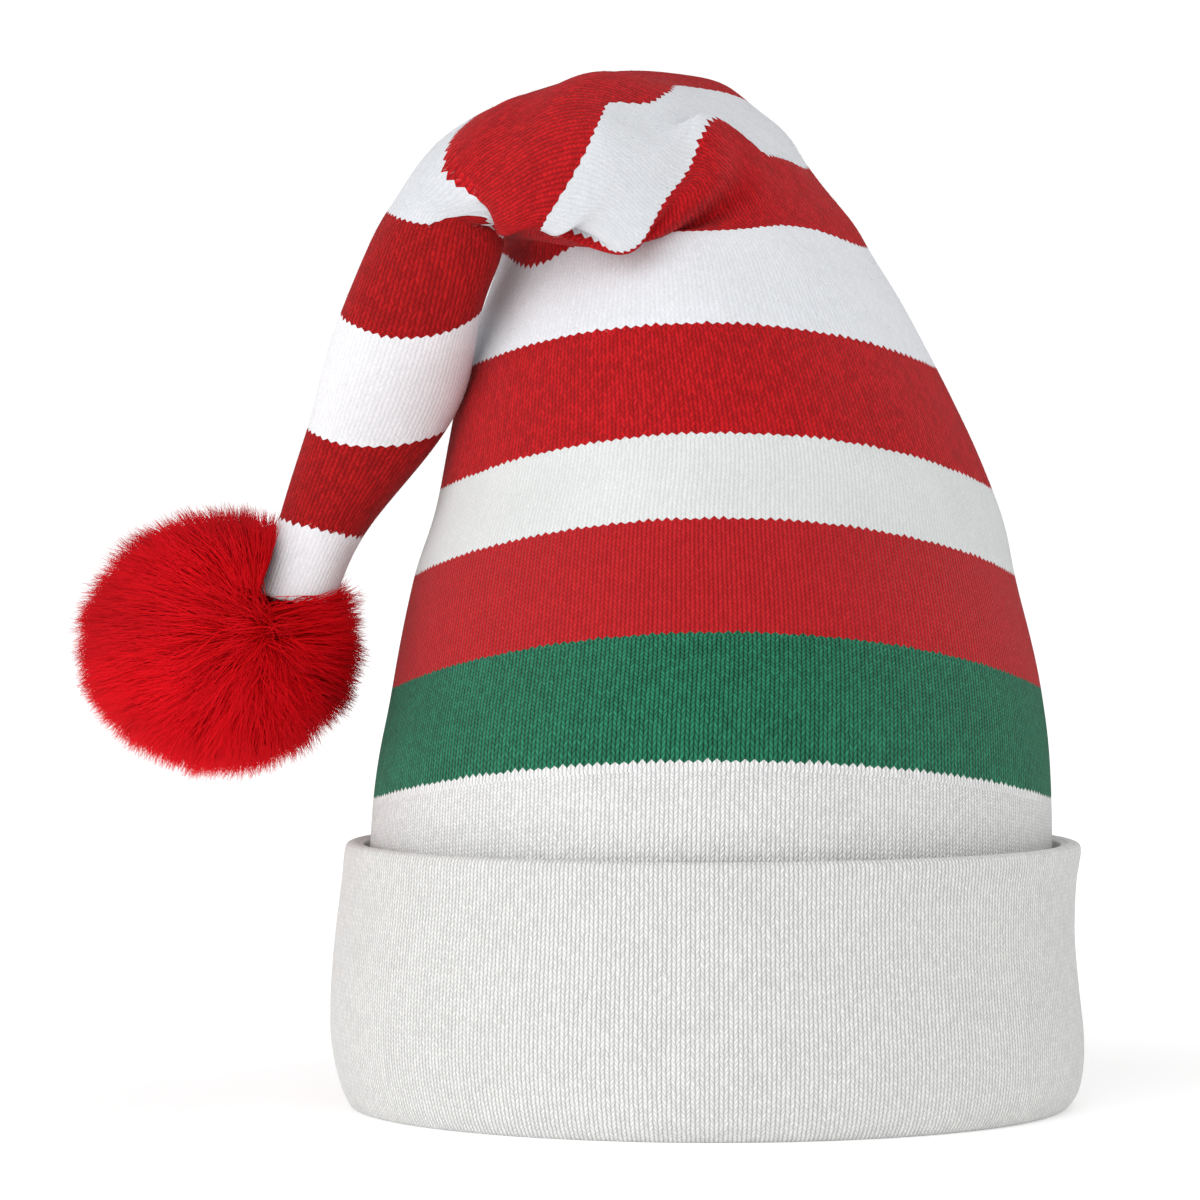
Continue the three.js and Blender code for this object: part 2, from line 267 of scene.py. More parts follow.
# Where the changes of yarn run along or across the fold instead of straight round it.
DRIFTS: tuple[Drift, ...] = (
    Drift(6, 218, 18, -0.31), Drift(6, 308, 20, 0.16),
    Drift(7, 246, 12, 0.1), Drift(7, 308, 9, -0.08), Drift(7, 326, 6, -0.13), Drift(7, 342, 8, 0.07),
    Drift(8, 250, 16, 0.19), Drift(8, 300, 5, 0.06), Drift(8, 312, 9, -0.085), Drift(8, 352, 20, 0.15),
    Drift(8, 290, 25, -0.05),
    Drift(8, 46, 30, -0.4), Drift(9, 280, 14, -0.08), Drift(9, 232, 18, 0.13),
    Drift(10, 244, 20, -0.76), Drift(10, 222, 14, -0.45), Drift(13, 300, 90, -0.1),
)
DRIFT_REACH = 0.95

# From the top of the leg inside the hat, under the fold, up to the rim and back down between the layers.
CUFF_OUTLINE: tuple[CuffRow, ...] = (
    CuffRow(19.7, 86.5, 86.5), CuffRow(7, 86.2, 86.2), CuffRow(1.6, 86.9, 86.9), CuffRow(0, 88.4, 88.8),
    CuffRow(0, 92, 92.6), CuffRow(1.8, 93.6, 95), CuffRow(5.5, 95.2, 96.8), CuffRow(12, 96.9, 97.8),
    CuffRow(20, 97.9, 97.7), CuffRow(32, 97.7, 96.4), CuffRow(45, 96.6, 95.4), CuffRow(58, 95, 95.8),
    CuffRow(66.4, 94.1, 97), CuffRow(68.4, 92.8, 95.6), CuffRow(68.1, 90.4, 92.8), CuffRow(65.4, 89.2, 91.4),
    CuffRow(45, 92.4, 91.4), CuffRow(20, 92.6, 92.4), CuffRow(9, 91.4, 91.6), CuffRow(6.4, 89.9, 90),
    CuffRow(8.6, 88.8, 88.8), CuffRow(19.7, 88.9, 88.9),
)


def linear(colour: Triple) -> tuple[float, float, float, float]:
    """Turns a display colour into the light values that a shader takes.

    Args:
        colour: Red, green and blue from 0 to 255.

    Returns:
        The same colour as linear red, green, blue and full alpha.
    """
    shares = [value / FULL_BYTE for value in colour]
    top = 1 + SRGB_OFFSET
    bright = [s / SRGB_SLOPE if s <= SRGB_KNEE else ((s + SRGB_OFFSET) / top) ** SRGB_POWER for s in shares]
    return (*bright, 1.0)


def smooth_track(points: np.ndarray, run: np.ndarray) -> np.ndarray:
    """Follows a smooth curve through a row of points.

    Args:
        points: The points, one to a row.
        run: Where to read the curve, in rows.

    Returns:
        One point for each value of run.
    """
    ends = np.vstack([2 * points[0] - points[1], points, 2 * points[-1] - points[-2]])
    row = np.clip(np.floor(run).astype(int), 0, len(points) - 2)
    share = (run - row)[:, None]
    before, first, second, after = (ends[row + step] for step in range(4))
    bend = 2 * before - 5 * first + 4 * second - after
    twist = 3 * first - before - 3 * second + after
    return first + 0.5 * ((second - before) * share + bend * share**2 + twist * share**3)


def unit(vectors: np.ndarray) -> np.ndarray:
    """Gives vectors a length of one."""
    return vectors / np.maximum(np.linalg.norm(vectors, axis=-1, keepdims=True), LEAST_LENGTH)


def path_length(points: np.ndarray) -> float:
    """Adds up the steps along a row of points."""
    return np.linalg.norm(np.diff(points, axis=0), axis=1).sum()


def turned(turn: np.ndarray, place: float) -> np.ndarray:
    """Finds how far round places lie from one place, the short way, in degrees."""
    return (turn - place + HALF_TURN) % FULL_TURN - HALF_TURN


def placed(points: np.ndarray) -> np.ndarray:
    """Moves points in millimetres about the cuff's axis to metres in the part's frame."""
    return (points + AXIS_PLACE) * MM


def runs_of(spans: tuple[Span, ...]) -> np.ndarray:
    """Lists the places along the cone where a ring of corners is made."""
    parts = [np.linspace(s.start, s.stop, s.steps + 1)[1:] for s in spans]
    return np.concatenate([[spans[0].start], *parts])


def corners_of(mesh: bpy.types.Mesh) -> np.ndarray:
    """Reads a mesh's corner points.

    Args:
        mesh: The mesh.

    Returns:
        The points, one to a row.
    """
    flat = np.zeros(len(mesh.vertices) * 3, np.float32)
    mesh.vertices.foreach_get("co", flat)
    return flat.reshape(-1, 3).astype(float)


def set_corners(mesh: bpy.types.Mesh, points: np.ndarray) -> None:
    """Moves a mesh's corner points to an array of places."""
    mesh.vertices.foreach_set("co", points.astype(np.float32).ravel())
    mesh.update()


def loop_corners(mesh: bpy.types.Mesh) -> np.ndarray:
    """Reads which corner point each corner of each face uses.

    Args:
        mesh: The mesh.

    Returns:
        The points' numbers, face by face.
    """
    numbers = np.zeros(len(mesh.loops), np.int32)
    mesh.loops.foreach_get("vertex_index", numbers)
    return numbers


def set_map(mesh: bpy.types.Mesh, name: str, places: np.ndarray) -> None:
    """Adds a map to a mesh, with one place for each corner of each face."""
    layer = mesh.uv_layers.new(name=name)
    layer.data.foreach_set("uv", places.astype(np.float32).ravel())


def finished(name: str, shape: bmesh.types.BMesh) -> bpy.types.Mesh:
    """Turns a shape in the making into a mesh, and frees it.

    Args:
        name: The mesh's name.
        shape: The shape.

    Returns:
        The mesh.
    """
    mesh = bpy.data.meshes.new(name)
    shape.to_mesh(mesh)
    shape.free()
    return mesh


def weld_seam(shape: bmesh.types.BMesh) -> None:
    """Welds a shape's open edges where they meet."""
    bmesh.ops.remove_doubles(shape, verts=[v for v in shape.verts if v.is_boundary], dist=WELD_DISTANCE)


def grid_mesh(name: str, columns: int, rows: int) -> tuple[bpy.types.Mesh, np.ndarray, np.ndarray]:
    """Makes a flat grid to be wrapped round a form.

    Args:
        name: The mesh's name.
        columns: Faces across.
        rows: Faces up.

    Returns:
        The mesh, and each corner's column and row.
    """
    flat = bmesh.new()
    bmesh.ops.create_grid(flat, x_segments=columns, y_segments=rows, size=GRID_REACH)
    mesh = finished(name, flat)
    share = corners_of(mesh)[:, :2] + GRID_REACH
    return mesh, np.rint(share[:, 0] * columns).astype(int), np.rint(share[:, 1] * rows).astype(int)


def strip_mesh(
    name: str, count: int, segments: int,
) -> tuple[bpy.types.Mesh, np.ndarray, np.ndarray, np.ndarray]:
    """Makes a field of narrow strips side by side, each to be laid along a strand.

    Args:
        name: The mesh's name.
        count: How many strips.
        segments: Faces along each strip.

    Returns:
        The mesh, and each corner's strip, side (0 or 1) and row.
    """
    across = 2 * count - 1
    flat = bmesh.new()
    bmesh.ops.create_grid(flat, x_segments=across, y_segments=segments, size=GRID_REACH)
    between = [f for f in flat.faces if int((f.calc_center_median().x + GRID_REACH) * across) % 2]
    bmesh.ops.delete(flat, geom=between, context="FACES")
    mesh = finished(name, flat)
    share = corners_of(mesh)[:, :2] + GRID_REACH
    column = np.rint(share[:, 0] * across).astype(int)
    return mesh, column // 2, column % 2, np.rint(share[:, 1] * segments).astype(int)


@dataclass
class Strands:
    """Strands of fur or fuzz: their points, the way out of the cloth at each, and a tint for each strand.

    rounding is how far their shading follows the way out, and not their own flat sides.
    """

    lines: np.ndarray
    out: np.ndarray
    tint: np.ndarray
    rounding: float = 2.5

    def laid(
        self, name: str, widths: np.ndarray, chance: np.random.Generator, roll: float,
    ) -> bpy.types.Object:
        """Lays flat strips along the strands, shaded as the surface that they stand on.

        Args:
            name: The piece's name.
            widths: The strips' width at each point along.
            chance: The source of chance.
            roll: How unevenly the strips are turned.

        Returns:
            One object with all the strips, mapped by tint and by share along the strand.
        """
        count, points = self.lines.shape[:2]
        along = unit(np.gradient(self.lines, axis=1))
        across = unit(np.cross(along, self.out + chance.normal(0, roll, (count, 1, 3))))
        mesh, strip, side, row = strip_mesh(name, count, points - 1)
        offset = across[strip, row] * ((side - 0.5) * widths[row])[:, None]
        set_corners(mesh, placed(self.lines[strip, row] + offset))
        loops = loop_corners(mesh)
        set_map(mesh, STRAND_MAP, np.stack([self.tint[strip[loops]], row[loops] / (points - 1)], -1))
        mesh.shade_smooth()
        flat = np.cross(along, across)
        flat = flat * np.sign((flat * self.out).sum(axis=-1, keepdims=True))
        mesh.normals_split_custom_set_from_vertices(unit(flat + self.rounding * self.out)[strip, row])
        return shown(name, mesh)


def shown(name: str, data: bpy.types.ID) -> bpy.types.Object:
    """Puts a mesh, a lamp or a camera in the scene as an object at the origin.

    Args:
        name: The object's name.
        data: The mesh, lamp or camera.

    Returns:
        The object.
    """
    made = bpy.data.objects.new(name, data)
    bpy.context.scene.collection.objects.link(made)
    return made


def settle(piece: bpy.types.Object, node: str, slot: str, *materials: bpy.types.Material) -> None:
    """Gives a piece its materials and ties it to the part.

    Args:
        piece: The new piece.
        node: The node of the part that it stands for.
        slot: The record's material slot; not used.
        materials: Its materials.
    """
    for material in materials:
        piece.data.materials.append(material)
    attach(piece, BODY)
    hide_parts(node)
    triangles = sum(len(p.vertices) - 2 for p in piece.data.polygons)
    LOG.info("%s stands for %s with %d triangles", piece.name, node, triangles)


class Wiring:
    """Adds and joins the nodes of one node tree."""

    def __init__(self, tree: bpy.types.NodeTree) -> None:
        """Starts on a tree."""
        self.tree = tree

    def node(self, kind: str, **settings: object) -> bpy.types.Node:
        """Adds a node and sets its own properties.

        Args:
            kind: The node's type.
            settings: Its properties by name.

        Returns:
            The node.
        """
        made = self.tree.nodes.new(kind)
        for name, value in settings.items():
            setattr(made, name, value)
        return made

    def feed(self, target: bpy.types.NodeSocket, value: object) -> None:
        """Joins a socket to another, or sets it to a plain value.

        Args:
            target: The socket.
            value: The other socket, or the value.
        """
        if isinstance(value, bpy.types.NodeSocket):
            self.tree.links.new(value, target)
        else:
            target.default_value = value

    def math(self, operation: str, *values: object, clamp: bool = False) -> bpy.types.NodeSocket:
        """Works out one number from others.

        Args:
            operation: The name of the sum.
            values: Sockets or plain numbers.
            clamp: Whether the result stays from 0 to 1.

        Returns:
            The result's socket.
        """
        made = self.node("ShaderNodeMath", operation=operation, use_clamp=clamp)
        for target, value in zip(made.inputs, values):
            self.feed(target, value)
        return made.outputs[0]

    def mix(self, share: object, first: object, second: object, blend: str = "MIX") -> bpy.types.NodeSocket:
        """Mixes two colours.

        Args:
            share: How much of the second colour.
            first: The first colour.
            second: The second colour.
            blend: How they meet.

        Returns:
            The mixed colour's socket.
        """
        made = self.node("ShaderNodeMix", data_type="RGBA", blend_type=blend)
        for number, value in ((MIX_SHARE, share), (MIX_FIRST, first), (MIX_SECOND, second)):
            self.feed(made.inputs[number], value)
        return made.outputs[MIX_RESULT]

    def noise(self, place: object, scale: float, detail: float) -> bpy.types.NodeSocket:
        """Adds cloudy noise.

        Args:
            place: Where to read it.
            scale: How fine it is.
            detail: How many finer layers it has.

        Returns:
            The noise's socket, with values around the middle from 0 to 1.
        """
        made = self.node("ShaderNodeTexNoise")
        self.feed(made.inputs["Vector"], place)
        self.feed(made.inputs["Scale"], scale)
        self.feed(made.inputs["Detail"], detail)
        return made.outputs["Fac"]

    def ramp(self, share: object, stops: list[tuple[float, tuple]], steps: bool) -> bpy.types.NodeSocket:
        """Adds a row of colours.

        Args:
            share: Where to read it, from 0 to 1.
            stops: Each colour's place and value.
            steps: Whether each colour runs on unchanged to the next.

        Returns:
            The colour's socket.
        """
        made = self.node("ShaderNodeValToRGB")
        row = made.color_ramp
        row.interpolation = "CONSTANT" if steps else "LINEAR"
        row.elements.remove(row.elements[1])
        row.elements[0].position, row.elements[0].color = stops[0]
        for place, colour in stops[1:]:
            row.elements.new(place).color = colour
        self.feed(made.inputs["Fac"], share)
        return made.outputs["Color"]


def group_tree(
    name: str, inputs: dict[str, str], outputs: dict[str, str],
) -> tuple[Wiring, bpy.types.Node, bpy.types.Node]:
    """Starts a shader node group.

    Args:
        name: The group's name.
        inputs: Each input's name and kind of socket.
        outputs: Each output's name and kind of socket.

    Returns:
        The group's wiring, its input node and its output node.
    """
    tree = bpy.data.node_groups.new(name, "ShaderNodeTree")
    for side, sockets in (("INPUT", inputs), ("OUTPUT", outputs)):
        for socket, kind in sockets.items():
            tree.interface.new_socket(socket, in_out=side, socket_type=kind)
    wiring = Wiring(tree)
    return wiring, wiring.node("NodeGroupInput"), wiring.node("NodeGroupOutput")


def stitch_group() -> bpy.types.NodeTree:
    """Makes the knit's stitches: columns of small V shapes, read from a map that counts stitches.

    Returns:
        A group that gives the stitches' height and the share of crest in the yarn's colour; the rest takes
        the grooves' painted shade.
    """
    stitch_rise, wobble_scale, wobble_detail = 0.95, 0.9, 2.0
    stroke_share, side_power, crest_power = 0.55, 0.7, 0.8
    takes = {"Stitch": PLACE, "Wobble": NUMBER, "Uneven": NUMBER}
    wiring, given, put = group_tree("knit_stitch", takes, {"Height": NUMBER, "Crest": NUMBER})
    split = wiring.node("ShaderNodeSeparateXYZ")
    wiring.feed(split.inputs[0], given.outputs["Stitch"])
    cloud = wiring.noise(given.outputs["Stitch"], wobble_scale, wobble_detail)
    uneven = wiring.math("SUBTRACT", cloud, NOISE_MIDDLE)
    shift = wiring.math("MULTIPLY", uneven, given.outputs["Wobble"])
    column = wiring.math("ADD", split.outputs["X"], shift)
    wale = wiring.math("FRACT", column)
    leg = wiring.math("MULTIPLY", wiring.math("ABSOLUTE", wiring.math("SUBTRACT", wale, 0.5)), 2.0)
    climb = wiring.math("SUBTRACT", split.outputs["Y"], wiring.math("MULTIPLY", leg, stitch_rise))
    row = wiring.math("ADD", climb, shift)
    course = wiring.math("FRACT", row)
    cell = wiring.node("ShaderNodeCombineXYZ")
    wiring.feed(cell.inputs["X"], wiring.math("FLOOR", wiring.math("MULTIPLY", column, 2.0)))
    wiring.feed(cell.inputs["Y"], wiring.math("FLOOR", row))
    chance = wiring.node("ShaderNodeTexWhiteNoise", noise_dimensions="2D")
    wiring.feed(chance.inputs["Vector"], cell.outputs["Vector"])
    sunk = wiring.math("MULTIPLY", chance.outputs["Value"], given.outputs["Uneven"])
    across = wiring.math("SINE", wiring.math("MULTIPLY", leg, math.pi))
    along = wiring.math("SINE", wiring.math("MULTIPLY", course, math.pi))
    stroke = wiring.math("MULTIPLY_ADD", along, stroke_share, 1 - stroke_share)
    height = wiring.math("MULTIPLY", wiring.math("POWER", across, side_power), stroke)
    wiring.feed(put.inputs["Height"], height)
    # Less crest means more of the painted groove shade; stitches that sink at random take more of it.
    crest = wiring.math("SUBTRACT", wiring.math("POWER", height, crest_power), sunk, clamp=True)
    wiring.feed(put.inputs["Crest"], crest)
    return wiring.tree


def fleck_group() -> bpy.types.NodeTree:
    """Makes the uneven shade of spun fibre: fine flecks and slow clouds.

    Returns:
        A group that gives the shade as a value around one.
    """
    fine_scale, fine_detail = 1400.0, 3.0
    slow_scale, slow_detail, slow_share = 45.0, 2.0, 0.6
    wiring, given, put = group_tree("fibre_fleck", {"Place": PLACE, "Amount": NUMBER}, {"Shade": NUMBER})
    place = given.outputs["Place"]
    flecks = wiring.math("SUBTRACT", wiring.noise(place, fine_scale, fine_detail), NOISE_MIDDLE)
    clouds = wiring.math("SUBTRACT", wiring.noise(place, slow_scale, slow_detail), NOISE_MIDDLE)
    both = wiring.math("ADD", flecks, wiring.math("MULTIPLY", clouds, slow_share))
    wiring.feed(put.inputs["Shade"], wiring.math("MULTIPLY_ADD", both, given.outputs["Amount"], 1.0))
    return wiring.tree


@dataclass(frozen=True)
class Effects:
    """The node groups that several materials share."""

    stitch: bpy.types.NodeTree
    fleck: bpy.types.NodeTree


def new_material(
    name: str, roughness: float, specular: float,
) -> tuple[bpy.types.Material, Wiring, bpy.types.Node]:
    """Starts a material with one plain shader in it.

    Args:
        name: The material's name.
        roughness: The shader's roughness.
        specular: How much the shader mirrors.

    Returns:
        The material, its wiring and its shader node.
    """
    material = bpy.data.materials.new(name)
    material.use_nodes = True
    material.node_tree.nodes.clear()
    wiring = Wiring(material.node_tree)
    shader = wiring.node("ShaderNodeBsdfPrincipled")
    output = wiring.node("ShaderNodeOutputMaterial")
    wiring.feed(output.inputs["Surface"], shader.outputs["BSDF"])
    shader.inputs["Roughness"].default_value = roughness
    shader.inputs["Specular IOR Level"].default_value = specular
    return material, wiring, shader


def flecked(wiring: Wiring, effects: Effects, amount: float, colour: object) -> bpy.types.NodeSocket:
    """Makes a colour as uneven as spun fibre.

    Args:
        wiring: The material's wiring.
        effects: The shared node groups.
        amount: How uneven.
        colour: The even colour.

    Returns:
        The uneven colour's socket.
    """
    fleck = wiring.node("ShaderNodeGroup", node_tree=effects.fleck)
    wiring.feed(fleck.inputs["Place"], wiring.node("ShaderNodeTexCoord").outputs["Object"])
    fleck.inputs["Amount"].default_value = amount
    return wiring.mix(1.0, colour, fleck.outputs["Shade"], "MULTIPLY")


def dress_knit(
    wiring: Wiring, shader: bpy.types.Node, effects: Effects, finish: KnitFinish,
    stitch: bpy.types.NodeSocket, crest: object, groove_shade: object, relief: object,
) -> None:
    """Finishes a knit material from the colours of its yarns.

    Args:
        wiring: The material's wiring.
        shader: The material's shader.
        effects: The shared node groups.
        finish: The knit's finish.
        stitch: The map that counts stitches.
        crest: The yarn's colour on the crests.
        groove_shade: The yarn's darker colour in the grooves, painted shade of the hollows between stitches.
        relief: The share of the relief that the yarn's stitches have.
    """
    knit = wiring.node("ShaderNodeGroup", node_tree=effects.stitch)
    wiring.feed(knit.inputs["Stitch"], stitch)
    knit.inputs["Wobble"].default_value = finish.wobble
    knit.inputs["Uneven"].default_value = finish.uneven
    # Where the crest gives way, the yarn takes its darker colour, painted shade of the hollows between
    # stitches.
    yarn = wiring.mix(knit.outputs["Crest"], groove_shade, crest)
    wiring.feed(shader.inputs["Base Color"], flecked(wiring, effects, finish.fleck, yarn))
    bump = wiring.node("ShaderNodeBump")
    bump.inputs["Strength"].default_value = 1.0
    bump.inputs["Distance"].default_value = finish.relief * MM
    wiring.feed(bump.inputs["Height"], wiring.math("MULTIPLY", knit.outputs["Height"], relief))
    wiring.feed(shader.inputs["Normal"], bump.outputs["Normal"])
    shader.inputs["Sheen Weight"].default_value = finish.sheen
    shader.inputs["Sheen Roughness"].default_value = finish.sheen_roughness


def strand_material(name: str, finish: StrandFinish) -> bpy.types.Material:
    """Makes fur or fuzz that changes colour from root to tip and from strand to strand.

    Args:
        name: The material's name.
        finish: The strands' colours and gloss.

    Returns:
        The material.
    """
    material, wiring, shader = new_material(name, finish.roughness, finish.specular)
    split = wiring.node("ShaderNodeSeparateXYZ")
    wiring.feed(split.inputs[0], wiring.node("ShaderNodeUVMap", uv_map=STRAND_MAP).outputs["UV"])
    stops = [(0.0, finish.root), (finish.middle_at, finish.middle), (1.0, finish.tip)]
    colour = wiring.ramp(split.outputs["Y"], [(place, linear(c)) for place, c in stops], False)
    shade = wiring.math("MULTIPLY_ADD", split.outputs["X"], finish.variety, 1 - finish.variety / 2)
    wiring.feed(shader.inputs["Base Color"], wiring.mix(1.0, colour, shade, "MULTIPLY"))
    return material


@dataclass
class Gauge:
    """How many stitches each stripe of the crown has, around and along."""

    wales: np.ndarray
    courses: np.ndarray
    starts: np.ndarray = field(init=False)

    def __post_init__(self) -> None:
        """Counts the courses up to each stripe."""
        self.starts = np.concatenate([[0], np.cumsum(self.courses)])


@dataclass
class Crown:
    """The knit cone, from inside the cuff over the fold to the end of the tail."""

    columns: int = 224
    inside_columns: int = 96
    outside: tuple[Span, ...] = (Span(0, 6, 132), Span(6, 10, 160), Span(10, 14, 64))
    inside: tuple[Span, ...] = (Span(0, 6, 48), Span(6, 10, 32), Span(10, 13.5, 14))
    wale_pitch: float = 2.3
    firm_course: float = 1.15
    soft_course: float = 1.5
    soft_from: int = 4
    fold_from: int = 7
    least_hollow: float = 0.4
    side_round: float = 0.16
    side_ease: float = 0.1
    side_lift: float = 0.6
    tooth: float = 0.8
    softness: float = 0.5
    softness_scale: float = 0.045
    wave_rows: tuple[float, ...] = (1.2, 3, 6, 10, 14)
    wave_shares: tuple[float, ...] = (0, 0.6, 1, 1.3, 0.8)
    run_step: float = 0.01
    turn_step: float = 1.0
    shown_turns: tuple[float, float] = (210, 360)
    ring_places: int = 76
    path_places: int = 15
    path_every: int = 5
    firm: KnitFinish = KnitFinish(0.9, 0.07, 0.35, 0.48, 0.22, 0.3, 0.22)
    soft: KnitFinish = KnitFinish(0.95, 0.03, 0.45, 0.45, 0.3, 0.5, 0.2)

    def columns_at(self, run: np.ndarray) -> tuple[np.ndarray, np.ndarray]:
        """Reads the wall and the crease at places along the cone.

        Args:
            run: Places along, in rows.

        Returns:
            The cloth's thickness, and how sharply the sides are pressed.
        """
        rows = np.arange(len(SECTIONS))
        wall = np.interp(run, rows, [s.wall for s in SECTIONS])
        return wall, np.interp(run, rows, [s.crease for s in SECTIONS])

    def cone(self, run: np.ndarray, turn: np.ndarray) -> tuple[np.ndarray, np.ndarray]:
        """Places points on the cone before the folds push it.

        Args:
            run: Places along, in rows.
            turn: Places around, in degrees.

        Returns:
            The points, and the middles of their rings.
        """
        tips = [np.array([getattr(s, tip) for s in SECTIONS], float) for tip in RING_TIPS]
        outer, back, inner, front = (smooth_track(tip, run) for tip in tips)
        middle = (outer + back + inner + front) / 4
        angle = np.radians(turn)[:, None]
        crease = self.columns_at(run)[1][:, None]
        eased = (np.sin(angle) ** 2 + self.side_round**2) / (1 + self.side_round**2)
        bow = np.sin(angle) * eased ** (crease / 2)
        skew = (outer + inner - back - front) / 4
        ring = (outer - inner) / 2 * np.cos(angle) + (back - front) / 2 * bow + skew * np.cos(2 * angle)
        return middle + ring, middle

    def pushes(self, folds: dict[str, Fold], run: np.ndarray, turn: np.ndarray) -> np.ndarray:
        """Adds up how far folds push the cloth.

        Args:
            folds: The folds by name.
            run: Places along, in rows.
            turn: Places around, in degrees.

        Returns:
            The push at each place.
        """
        total = np.zeros((len(run), 3))
        for fold in folds.values():
            around = turned(turn, fold.turn)
            along = (run - fold.at - fold.slant * around) / fold.run
            weight = np.exp(-(along**2) - (around / fold.spread) ** 2)
            total = total + weight[:, None] * np.array(fold.push, float)
        return total

    def outside_points(self, run: np.ndarray, turn: np.ndarray) -> np.ndarray:
        """Places points on the outside of the cloth, as the folds push it."""
        return self.cone(run, turn)[0] + self.pushes(FOLDS | FINE_FOLDS | WALL_FOLDS, run, turn)

    def drifted(self, run: np.ndarray, turn: np.ndarray) -> np.ndarray:
        """Shifts places along to where the courses lie: level from front to back, and pulled at the fold.

        Args:
            run: Places along, in rows.
            turn: Places around, in degrees.

        Returns:
            The shifted places along.
        """
        rows = np.arange(len(SECTIONS))
        front, back = (np.array([getattr(s, tip)[2] for s in SECTIONS]) for tip in ("front", "back"))
        climb = rows[:self.fold_from + 1]
        level = np.interp(np.interp(run, climb, front[climb]), back[climb], climb)
        rise = np.where(run < self.fold_from, np.maximum(level - run, 0), 0)
        depth = np.sin(np.radians(turn))
        bow = np.abs(depth) ** (1 + self.columns_at(run)[1])
        eased = (np.hypot(bow, self.side_ease) - bow) * np.clip(self.fold_from - run, 0, 1)
        shifted = run + rise * bow * (depth > 0) + self.side_lift * eased
        for drift in DRIFTS:
            around = turned(turn, drift.turn) / drift.spread
            along = np.maximum(1 - np.abs(run - drift.ring) / DRIFT_REACH, 0)
            shifted = shifted + drift.shift * np.exp(-(around**2)) * along
        return shifted

    def inside_points(self, run: np.ndarray, turn: np.ndarray) -> np.ndarray:
        """Places points on the inside of the cloth, never so far in that the hollow closes.

        Args:
            run: Places along, in rows.
            turn: Places around, in degrees.

        Returns:
            The points.
        """
        points, middle = self.cone(run, turn)
        reach = np.linalg.norm(points - middle, axis=1)
        share = np.minimum(self.columns_at(run)[0] / reach, 1 - self.least_hollow)
        return points + (middle - points) * share[:, None] + self.pushes(WALL_FOLDS, run, turn)

    def tangents(self, run: np.ndarray, turn: np.ndarray) -> tuple[np.ndarray, np.ndarray]:
        """Finds the ways along and around the cloth, as long as the cloth is over a small step each way.

        Args:
            run: Places along, in rows.
            turn: Places around, in degrees.

        Returns:
            The ways along, and the ways around.
        """
        ahead, behind = run + self.run_step, run - self.run_step
        along = self.outside_points(ahead, turn) - self.outside_points(behind, turn)
        ahead, behind = turn + self.turn_step, turn - self.turn_step
        return along, self.outside_points(run, ahead) - self.outside_points(run, behind)

    def normals(self, run: np.ndarray, turn: np.ndarray) -> np.ndarray:
        """Finds the directions that stand out of the cloth."""
        along, around = self.tangents(run, turn)
        return unit(np.cross(around, along))

    def gauge(self) -> Gauge:
        """Counts the stitches of each stripe from its size, around and along the side that shows.

        Returns:
            The stitch counts.
        """
        shows = np.linspace(*self.shown_turns, self.ring_places)
        part = (shows[-1] - shows[0]) / FULL_TURN
        wales, courses = [], []
        for stripe in range(len(STRIPES)):
            ring = self.outside_points(np.full(shows.shape, stripe + 0.5), shows)
            wales.append(path_length(ring) / part / self.wale_pitch)
            runs = np.linspace(stripe, stripe + 1, self.path_places)
            turns = shows[::self.path_every]
            paths = [self.outside_points(runs, np.full(runs.shape, turn)) for turn in turns]
            length = np.mean([path_length(path) for path in paths])
            courses.append(length / (self.firm_course if stripe < self.soft_from else self.soft_course))
        return Gauge(np.rint(wales), np.rint(courses))

    def skin(
        self, name: str, columns: int, spans: tuple[Span, ...], outside: bool, gauge: Gauge,
    ) -> bpy.types.Mesh:
        """Wraps a grid round the cone.

        Args:
            name: The mesh's name.
            columns: Faces around.
            spans: The steps along.
            outside: Whether it is the outside of the cloth.
            gauge: The stitch counts for its map.

        Returns:
            The mesh, open along one seam.
        """
        runs = runs_of(spans)
        mesh, column, row = grid_mesh(name, columns, len(runs) - 1)
        turn, run = column * FULL_TURN / columns, runs[row]
        loops = loop_corners(mesh)
        face_rows = row[loops].reshape(-1, FACE_CORNERS).min(axis=1)
        stripe = np.repeat(np.floor(runs[face_rows] + ROW_EASE).astype(int), FACE_CORNERS)
        wale = turn[loops] / FULL_TURN * gauge.wales[stripe]
        course = gauge.starts[stripe] + (run[loops] - stripe) * gauge.courses[stripe]
        set_map(mesh, STITCH_MAP, np.stack([wale, course], -1))
        soft = stripe[::FACE_CORNERS] >= self.soft_from
        mesh.polygons.foreach_set("material_index", soft.astype(np.int32))
        seam = turn % FULL_TURN
        place = self.drifted(run, seam)
        points = self.waved_points(place, seam) if outside else self.inside_points(place, seam)
        set_corners(mesh, placed(points))
        return mesh

    def waved_points(self, run: np.ndarray, turn: np.ndarray) -> np.ndarray:
        """Places points on the outside of the cloth, with its soft waves."""
        return self.outside_points(run, turn) + self.soft_waves(run, turn)

    def soft_waves(self, run: np.ndarray, turn: np.ndarray) -> np.ndarray:
        """Gives the cloth slight soft waves, none in the cuff and most at the top of the tail.

        Args:
            run: Places along, in rows.
            turn: Places around, in degrees.

        Returns:
            How far the waves move the cloth at each place.
        """
        base = self.outside_points(run, turn) * self.softness_scale
        wave = np.array([noise.noise(Vector(point)) for point in base])
        amount = self.softness * np.interp(run, self.wave_rows, self.wave_shares)
        return self.normals(run, turn) * (wave * amount)[:, None]

